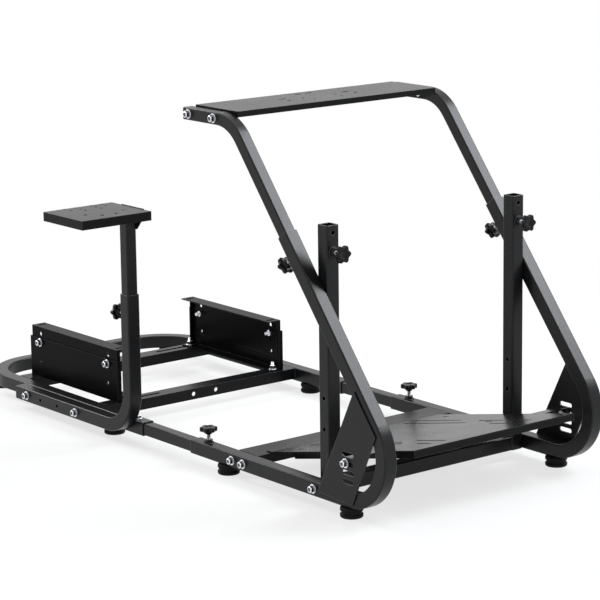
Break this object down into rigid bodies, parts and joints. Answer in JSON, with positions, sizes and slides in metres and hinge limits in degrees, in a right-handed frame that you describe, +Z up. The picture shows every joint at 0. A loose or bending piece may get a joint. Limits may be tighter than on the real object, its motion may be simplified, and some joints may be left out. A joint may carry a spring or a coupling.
{
  "type": "sim racing cockpit frame",
  "caption": "Square-tube racing simulator frame with wheel plate, pitched pedal plate, monitor posts, seat rails and a side shifter stand.",
  "frame": {"origin": "on the floor, below the middle of the cockpit's overall box", "axes": "+X ahead of the driver, +Y to the driver's left, +Z up"},
  "size_m": [1.499, 0.7624, 0.7517],
  "materials": {
    "coated_tube": "satin black powder coat",
    "coated_sheet": "satin black powder coat",
    "foot_rubber": "moulded",
    "zinc_steel": "zinc plated",
    "knob_plastic": "moulded, fine grain"
  },
  "bodies": {
    "front_frame": {"right_side_tube": "coated_tube", "left_side_tube": "coated_tube", "right_gusset": "coated_sheet", "left_gusset": "coated_sheet", "right_monitor_post": "coated_tube", "left_monitor_post": "coated_tube", "front_cross_tube": "coated_tube", "heel_cross_channel": "coated_sheet", "pedal_plate": "coated_sheet", "right_pedal_bracket": "coated_sheet", "left_pedal_bracket": "coated_sheet", "front_frame_feet": "foot_rubber", "front_frame_bolts": "zinc_steel", "front_weld_nuts": "coated_tube"},
    "seat_base": {"seat_base_tube": "coated_tube", "right_inner_rail": "coated_tube", "left_inner_rail": "coated_tube", "rear_seat_channel": "coated_sheet", "front_seat_channel": "coated_sheet", "right_bracket_lower": "coated_sheet", "right_bracket_upper": "coated_sheet", "left_bracket_lower": "coated_sheet", "left_bracket_upper": "coated_sheet", "seat_base_feet": "foot_rubber", "seat_base_bolts": "zinc_steel", "bracket_bolts": "zinc_steel", "shifter_tube": "coated_tube", "shifter_weld_nut": "coated_tube"},
    "shifter_stand": {"shifter_post": "coated_tube", "shifter_plate": "coated_sheet", "shifter_side_bracket": "coated_sheet", "shifter_bolts": "zinc_steel"},
    "wheel_mount": {"right_wheel_arm": "coated_tube", "left_wheel_arm": "coated_tube", "wheel_plate": "coated_sheet", "wheel_plate_bolts": "zinc_steel"},
    "right_rail_clamp": {"right_rail_knob": "knob_plastic"},
    "left_rail_clamp": {"left_rail_knob": "knob_plastic"},
    "right_arm_clamp": {"right_arm_knob": "knob_plastic"},
    "left_arm_clamp": {"left_arm_knob": "knob_plastic"},
    "right_post_clamp": {"right_post_knob": "knob_plastic"},
    "left_post_clamp": {"left_post_knob": "knob_plastic"},
    "shifter_clamp": {"shifter_knob": "knob_plastic"}
  },
  "joints": [
    {"name": "base_length_slide", "type": "slide", "parent": "front_frame", "child": "seat_base", "axis": [1, 0, 0], "range_m": [-0.045, 0.03]},
    {"name": "wheel_height_slide", "type": "slide", "parent": "front_frame", "child": "wheel_mount", "axis": [-0.6293, 0, 0.7771], "range_m": [-0.12, 0.1]},
    {"name": "shifter_height_slide", "type": "slide", "parent": "seat_base", "child": "shifter_stand", "axis": [0, 0, 1], "range_m": [-0.09, 0.05]},
    {"name": "right_rail_knob_turn", "type": "hinge", "parent": "front_frame", "child": "right_rail_clamp", "pos_m": [0.1655, -0.1918, 0.07], "axis": [0, 0, 1], "continuous": true},
    {"name": "left_rail_knob_turn", "type": "hinge", "parent": "front_frame", "child": "left_rail_clamp", "pos_m": [0.1655, 0.3562, 0.07], "axis": [0, 0, 1], "continuous": true},
    {"name": "right_arm_knob_turn", "type": "hinge", "parent": "front_frame", "child": "right_arm_clamp", "pos_m": [0.4683, -0.1918, 0.49473], "axis": [-0.7771, 0, -0.6293], "continuous": true},
    {"name": "left_arm_knob_turn", "type": "hinge", "parent": "front_frame", "child": "left_arm_clamp", "pos_m": [0.4683, 0.3562, 0.49473], "axis": [-0.7771, 0, -0.6293], "continuous": true},
    {"name": "right_post_knob_turn", "type": "hinge", "parent": "front_frame", "child": "right_post_clamp", "pos_m": [0.5635, -0.1618, 0.505], "axis": [1, 0, 0], "continuous": true},
    {"name": "left_post_knob_turn", "type": "hinge", "parent": "front_frame", "child": "left_post_clamp", "pos_m": [0.5635, 0.3262, 0.505], "axis": [1, 0, 0], "continuous": true},
    {"name": "shifter_knob_turn", "type": "hinge", "parent": "seat_base", "child": "shifter_clamp", "pos_m": [-0.0965, -0.2218, 0.288], "axis": [-1, 0, 0], "continuous": true}
  ]
}
